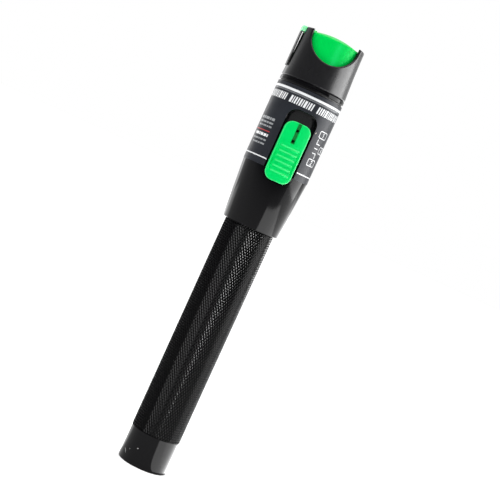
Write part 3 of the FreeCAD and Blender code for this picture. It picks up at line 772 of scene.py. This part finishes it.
def slider_surface(x, z):
    """Radius of the slider's face at (x, z)."""
    middle_z = (slider_z0 + slider_z1) / 2
    depth = depth_in_box(x, z, 0, middle_z, slider_w, slider_z1 - middle_z, slider_corner)
    drop = 0.0
    if depth < slider_edge:
        rest = slider_edge - max(depth, 0.0)
        drop = slider_edge - math.sqrt(max(0.0, slider_edge ** 2 - rest ** 2))
    dish_z = dish_top - dish_len / 2
    in_dish = depth_in_box(x, z, 0, dish_z, dish_half_w, dish_len / 2, dish_corner)
    arc_r = ((dish_len / 2) ** 2 + dish_depth ** 2) / (2 * dish_depth)
    floor = dish_depth - arc_r + math.sqrt(max(0.0, arc_r ** 2 - (z - dish_z) ** 2))
    sunk = floor * ramp(in_dish, -wall_run, 3 * wall_run)
    groove = groove_depth * ramp(depth_in_box(x, z, *groove_box), -wall_run, wall_run)
    hole = 0.0
    for top in hole_tops:
        hole = max(hole, hole_depth * ramp(hole_r - math.hypot(x, z - slider_z1 + top),
                                            -hole_wall_run, hole_wall_run))
    return min(slider_front, slider_r - drop - sunk + rib_height(x, z) - groove - hole)


def rib_outline(z, away):
    """Where a rib's flank is this far away from its core line."""
    return rounded_loop(0, z, rib_core_half + away, away, 0.05, 0.25)


def circle_loop(x, z, r, count=28):
    return [(x + r * math.cos(TAU * k / count), z + r * math.sin(TAU * k / count)) for k in range(count)]


def build_slider():
    middle_z = (slider_z0 + slider_z1) / 2
    half_l = slider_z1 - middle_z
    step = 0.22

    def outline(inset):
        return rounded_loop(0, middle_z, slider_w - inset, half_l - inset, slider_corner - inset, step)

    outer = outline(0.0)
    extra = [outline(i) for i in (0.03, 0.09, 0.18, slider_edge)]
    dish_z = dish_top - dish_len / 2
    for grow in (wall_run, -wall_run, -3 * wall_run):
        extra.append(rounded_loop(0, dish_z, dish_half_w + grow, dish_len / 2 + grow,
                                  dish_corner + grow, step))
    gx, gz, half_w, half_h, corner = groove_box
    extra.append(rounded_loop(gx, gz, half_w + wall_run, half_h + wall_run, corner + wall_run, 0.2))
    for top in hole_tops:
        extra.append(circle_loop(0, slider_z1 - top, hole_r + hole_wall_run))
    for rib_z in rib_tops:
        for away, _ in rib_profile:
            if away != rib_crown:
                extra.append(rib_outline(rib_z, away))
    # The band outside this outline and the rib crowns are drawn in painted highlight green.
    marks = [outline(0.3)]
    marks += [rib_outline(z, rib_crown) for z in rib_tops]
    # The groove floor is drawn in painted shade, a darker green.
    marks += [rounded_loop(gx, gz, half_w - wall_run, half_h - wall_run, corner, 0.2)]
    # The hole floors are drawn in near-black painted shade.
    marks += [circle_loop(0, slider_z1 - top, hole_r - hole_wall_run) for top in hole_tops]
    points, tris, tag = fill_plane(outer, marks=marks, spacing=0.2, extra=extra)
    plain, groove_shade, shadow, light = range(4)
    inks = np.array([light, plain] + [light] * rib_count + [groove_shade] + [shadow] * len(hole_tops))
    shape = Shape()
    shape.add([on_front(x, z, slider_surface(x, z)) for x, z in points], tris.tolist(),
              inks[tag + 1].tolist())
    under, under_tris, _ = fill_plane(outer, spacing=0.8)
    shape.add([on_front(x, z, slider_under_r) for x, z in under], under_tris.tolist())
    shape.bridge([on_front(x, z, slider_surface(x, z)) for x, z in outer],
                 [on_front(x, z, slider_under_r) for x, z in outer])
    shape.piece("slider_moulded", "switch", "green_plastic", [green, groove_painted_shade, hole_shadow, slider_painted_highlight],
                sharp=math.radians(75), stands_for=["switch_slider"])
    build_tongue()


tongue_half = (1.6, 2.1)
tongue_reach = 1.6
pocket_half = (0.95, 1.05)


def build_tongue():
    """Block under the slider that takes the switch lever in its pocket."""
    tongue_z = (slider_z0 + slider_z1) / 2
    lever_y = low("switch_lever").y
    tip_y, root_y = lever_y + tongue_reach, -slider_under_r + 0.02
    shape = Shape()
    wide = rounded_loop(0, tongue_z, *tongue_half, 0.2, 0.5)
    pocket = rounded_loop(0, tongue_z, *pocket_half, 0.0, 0.5)
    points, tris, _ = fill_plane(wide, [pocket], spacing=0.5)
    shape.add([(x, tip_y, z) for x, z in points], tris.tolist())
    for y, loop in ((root_y, wide), (lever_y, pocket)):
        flat, flat_tris, _ = fill_plane(loop, spacing=0.5)
        shape.add([(x, y, z) for x, z in flat], flat_tris.tolist())
    shape.bridge([(x, root_y, z) for x, z in wide], [(x, tip_y, z) for x, z in wide])
    shape.bridge([(x, lever_y, z) for x, z in pocket], [(x, tip_y, z) for x, z in pocket])
    shape.piece("slider_tongue", "switch", "green_plastic", [green])


# ---------------------------------------------------------------- gasket and collar

def bore_r(name):
    """Smallest radius of a turned node of the frame."""
    return min(math.hypot(v.co.x, v.co.y) for v in frame["nodes"][name].data.vertices) / MM


ring_facets = 224


def build_rings():
    """The two rings below the head, turned finely and with rounded edges."""
    for name, slot, mat, edge in (("collar_ring", "gloss_black_metal", gloss_black, 0.3),
                                  ("head_gasket", "seal_rubber", seal_rubber, 0.1)):
        lo, hi, inner = low(name), high(name), bore_r(name)
        section = [(hi.x, lo.z, edge), (hi.x, hi.z, edge), (inner, hi.z, 0), (inner, lo.z, 0)]
        verts, faces = lathe(rounded(section), ring_facets)
        make_piece(name + "_turned", "pen", slot, verts, faces, [mat], stands_for=[name])


# ---------------------------------------------------------------- wear, dust and a light streak

def blob(outline, at, lift=0.006, sink=0.01):
    """Thin patch with a domed top: the outline is in millimetres round (0, 0), at() puts it on a surface."""
    rings = [[at(a, b, -sink) for a, b in outline], [at(a, b, 0.3 * lift) for a, b in outline],
             [at(0.6 * a, 0.6 * b, lift) for a, b in outline]]
    shape = Shape()
    for lower, upper in zip(rings, rings[1:]):
        shape.bridge(lower, upper)
    count = range(len(outline))
    shape.add(rings[0], [count])
    shape.add(rings[-1], [count])
    return shape


def uneven_loop(half_w, half_h, lean=0.0, count=18):
    """Ragged oval, slanted by lean."""
    loop = []
    for k in range(count):
        a = TAU * k / count
        ragged = 1 + 0.18 * math.sin(3 * a + 1) + 0.1 * math.sin(7 * a)
        loop.append((half_w * ragged * math.cos(a) + lean * half_h * ragged * math.sin(a),
                     half_h * ragged * math.sin(a)))
    return loop


def wear_dust_and_streak():
    marks = (
        ("tail_dot", "tail_cap", "bare_aluminium", wear_metal, tail_r, -4.95, 6.8, (0.14, 0.18, 0.0)),
        ("tail_dot_small", "tail_cap", "bare_aluminium", wear_metal, tail_r, -8.3, 5.2, (0.09, 0.09, 0.0)),
        # A short light streak on the tail cap, drawn in the worn-metal finish.
        ("tail_light_streak", "tail_cap", "bare_aluminium", wear_metal, tail_r, -10.2, 3.7, (0.1, 0.7, -0.9)),
        ("speck_slider", "switch", None, dust_speck, slider_r - 0.3, 1.9, slider_z0 + 0.22,
         (0.2, 0.14, 0.0)),
        ("speck_window", "pen", None, dust_speck, label_r, 7.0, 140.8, (0.16, 0.3, 0.4)))
    for name, body, slot, mat, r, s, z, (half_w, half_h, lean) in marks:
        def at(a, b, lift):
            return at_angle(s + a, z + b, r + lift, r)
        shape = blob(uneven_loop(half_w, half_h, lean), at)
        shape.piece(name, body, slot, [mat])


build_tail_cap()
build_grip()
build_barrel()
build_label()
build_slider()
build_rings()
wear_dust_and_streak()


# ---------------------------------------------------------------- stage, lights and camera

FLOOR_R, DOME_R = 6.0, 5.9
CARD_FAR, CARD_NEAR = -0.5, -0.12
CARD_HALF = 0.7 * math.sqrt(DOME_R ** 2 - CARD_NEAR ** 2)
ROUND_STEPS, RISE_STEPS = 96, 24
DARK_SIDE = (-0.485, -0.875, 0.0)


def round_the_axis():
    return np.linspace(0, TAU, ROUND_STEPS, endpoint=False)


def stage_material(name, far_glow, far_base):
    """Pale matt surface whose glow and colour fade along Y, from far in front of the pen to near it."""
    near_glow, near_base = 0.45, 0.86
    mat = finish(name, (near_base,) * 3, 0.8, vary=0.01, vary_mm=200, specular=0.1)
    tree = mat.node_tree
    shader = tree.nodes["Principled BSDF"]
    shader.inputs["Emission Color"].default_value = (1, 1, 1, 1)
    where = node(tree, "ShaderNodeTexCoord")
    split = node(tree, "ShaderNodeSeparateXYZ")
    tree.links.new(where.outputs["Object"], split.inputs["Vector"])
    for socket, far_value, near_value in (("Emission Strength", far_glow, near_glow),
                                          ("Base Color", far_base, near_base)):
        fade = node(tree, "ShaderNodeMapRange")
        for key, value in (("From Min", CARD_FAR), ("From Max", CARD_NEAR), ("To Min", far_value),
                           ("To Max", near_value)):
            fade.inputs[key].default_value = value
        tree.links.new(split.outputs["Y"], fade.inputs["Value"])
        tree.links.new(fade.outputs["Result"], shader.inputs[socket])
    return mat


def stage_object(name, verts, faces, mat, seen=True):
    mesh = bpy.data.meshes.new(name)
    mesh.from_pydata(verts, [], faces)
    mesh.materials.append(mat)
    made = bpy.data.objects.new(name, mesh)
    made.visible_camera = made.visible_shadow = seen
    bpy.context.scene.collection.objects.link(made)


def build_stage():
    """White floor, and in front of the pen a darker card that only the pen's surfaces see."""
    rim = [(FLOOR_R * math.cos(a), FLOOR_R * math.sin(a), 0) for a in round_the_axis()]
    stage_object("stage_floor", rim, [range(len(rim))], stage_material("stage_floor", 1.0, 0.86))
    far, near, lift = CARD_HALF, CARD_NEAR, 0.2 * MM
    card = [(-far, -far, lift), (far, -far, lift), (far, near, lift), (-far, near, lift)]
    stage_object("stage_front_card", card, [range(4)], stage_material("stage_front_card", 0.0, 0.3),
                 seen=False)


def build_world():
    """White surround, and a dome that only the pen's surfaces see, darker on the side its front faces."""
    world = bpy.data.worlds.new("studio")
    bpy.context.scene.world = world
    world.use_nodes = True
    world.node_tree.nodes["Background"].inputs["Color"].default_value = (1, 1, 1, 1)
    mat = bpy.data.materials.new("stage_dome")
    mat.use_nodes = True
    tree = mat.node_tree
    where = node(tree, "ShaderNodeTexCoord")
    unit = node(tree, "ShaderNodeVectorMath", operation="NORMALIZE")
    tree.links.new(where.outputs["Object"], unit.inputs[0])
    facing = node(tree, "ShaderNodeVectorMath", operation="DOT_PRODUCT")
    facing.inputs[1].default_value = DARK_SIDE
    tree.links.new(unit.outputs["Vector"], facing.inputs[0])
    ramp_node = node(tree, "ShaderNodeValToRGB")
    ramp_node.color_ramp.interpolation = "EASE"
    bright, dark = ramp_node.color_ramp.elements
    bright.position, dark.position = -0.2, 0.25
    bright.color = (1.0, 1.0, 1.0, 1)
    dark.color = (0.36, 0.36, 0.36, 1)
    tree.links.new(facing.outputs["Value"], ramp_node.inputs["Fac"])
    shader = tree.nodes["Principled BSDF"]
    shader.inputs["Base Color"].default_value = (0, 0, 0, 1)
    shader.inputs["Specular IOR Level"].default_value = 0.0
    shader.inputs["Emission Strength"].default_value = 1.0
    tree.links.new(ramp_node.outputs["Color"], shader.inputs["Emission Color"])
    verts, faces = [], []
    for row in range(RISE_STEPS + 1):
        e = math.pi / 2 * row / RISE_STEPS
        r, z = DOME_R * math.cos(e), DOME_R * math.sin(e)
        verts += [(r * math.cos(a), r * math.sin(a), z) for a in round_the_axis()]
    for row in range(RISE_STEPS):
        for k in range(ROUND_STEPS):
            a, b = row * ROUND_STEPS + k, row * ROUND_STEPS + (k + 1) % ROUND_STEPS
            faces.append((a, b, b + ROUND_STEPS, a + ROUND_STEPS))
    stage_object("stage_dome", verts, faces, mat, seen=False)


def softbox(name, azimuth, elevation, distance, size, radiance, aim_z=0.1, glossy=True, diffuse=True):
    """Area light round the pen, of even brightness; azimuth 0 is in front (-Y) and 90 is at +X.

    A light that is off for glossy or diffuse rays makes only soft shading, or only a reflection.
    """
    light = bpy.data.lights.new(name, "AREA")
    light.shape = "RECTANGLE"
    light.size, light.size_y = size
    light.energy = math.pi * size[0] * size[1] * radiance
    lamp = bpy.data.objects.new(name, light)
    a, e = math.radians(azimuth), math.radians(elevation)
    target = Vector((0, 0, aim_z))
    way = Vector((math.sin(a) * math.cos(e), -math.cos(a) * math.cos(e), math.sin(e)))
    lamp.location = target + distance * way
    lamp.rotation_euler = (target - lamp.location).to_track_quat("-Z", "Y").to_euler()
    lamp.visible_glossy, lamp.visible_diffuse = glossy, diffuse
    bpy.context.scene.collection.objects.link(lamp)
    return lamp


def glint_lights(piece, lights, aim_z=0.1):
    """Lights for one piece only, to pick out its faces that are too steep for the main reflections."""
    receivers = bpy.data.collections.new("receivers_" + piece.name)
    receivers.objects.link(piece)
    for values in lights:
        softbox(*values, aim_z=aim_z, diffuse=False).light_linking.receiver_collection = receivers


def low_card(name, edge_azimuth, width, length, radiance):
    """Card lying on the floor, seen only in reflections; one edge runs through the pen's axis."""
    card = softbox(name, 0, 0, 1, (width, length), radiance, diffuse=False)
    turn = math.radians(edge_azimuth)
    card.location = (width / 2 * math.cos(turn), width / 2 * math.sin(turn), MM)
    card.rotation_euler = (math.pi, 0, turn)
    card.visible_camera = False


def build_camera():
    distance, azimuth, height = 0.5175, math.radians(-6.7), 0.1186
    tilt, side_aim, roll = math.radians(3.03), 0.0037, math.radians(24.5)
    data = bpy.data.cameras.new("camera")
    data.sensor_width, data.lens = 36.0, 99.1
    camera = bpy.data.objects.new("camera", data)
    place = Vector((distance * math.sin(azimuth), -distance * math.cos(azimuth), height))
    right = Vector((math.cos(azimuth), math.sin(azimuth), 0))
    target = Vector((0, 0, height - distance * math.tan(tilt))) + right * side_aim
    camera.location = place
    look = (target - place).to_track_quat("-Z", "Y").to_matrix()
    camera.rotation_euler = (look @ Matrix.Rotation(roll, 3, "Z")).to_euler()
    bpy.context.scene.collection.objects.link(camera)
    bpy.context.scene.camera = camera


build_stage()
build_world()
softbox("reflection_right", 84, 5, 0.7, (0.76, 0.7), 8.5, diffuse=False)
glint_lights(bpy.data.objects["grip_knurled"], (
    ("knurl_glint_right", 99, 27, 0.7, (0.72, 0.4), 150.0),
    ("knurl_glint_front", 24, 27, 0.7, (0.5, 0.3), 20.0)))
glint_lights(frame["nodes"]["dust_cap"], (("cap_sheen", 24, 2, 0.6, (0.07, 0.4), 60.0),), aim_z=0.17)
low_card("reflection_near", 22, 0.3, 0.6, 6.5)
low_card("reflection_wide", 58, 1.2, 1.4, 1.6)
softbox("shade_right", 85, 30, 0.8, (0.4, 0.5), 1.0, glossy=False)
softbox("shade_front", -25, 38, 0.8, (0.5, 0.5), 5.0, glossy=False)
softbox("top", 20, 75, 0.7, (0.4, 0.4), 2.5)
softbox("rim_left", -150, 10, 0.8, (0.2, 0.6), 2.0)
build_camera()
bpy.context.scene.view_settings.view_transform = "Standard"
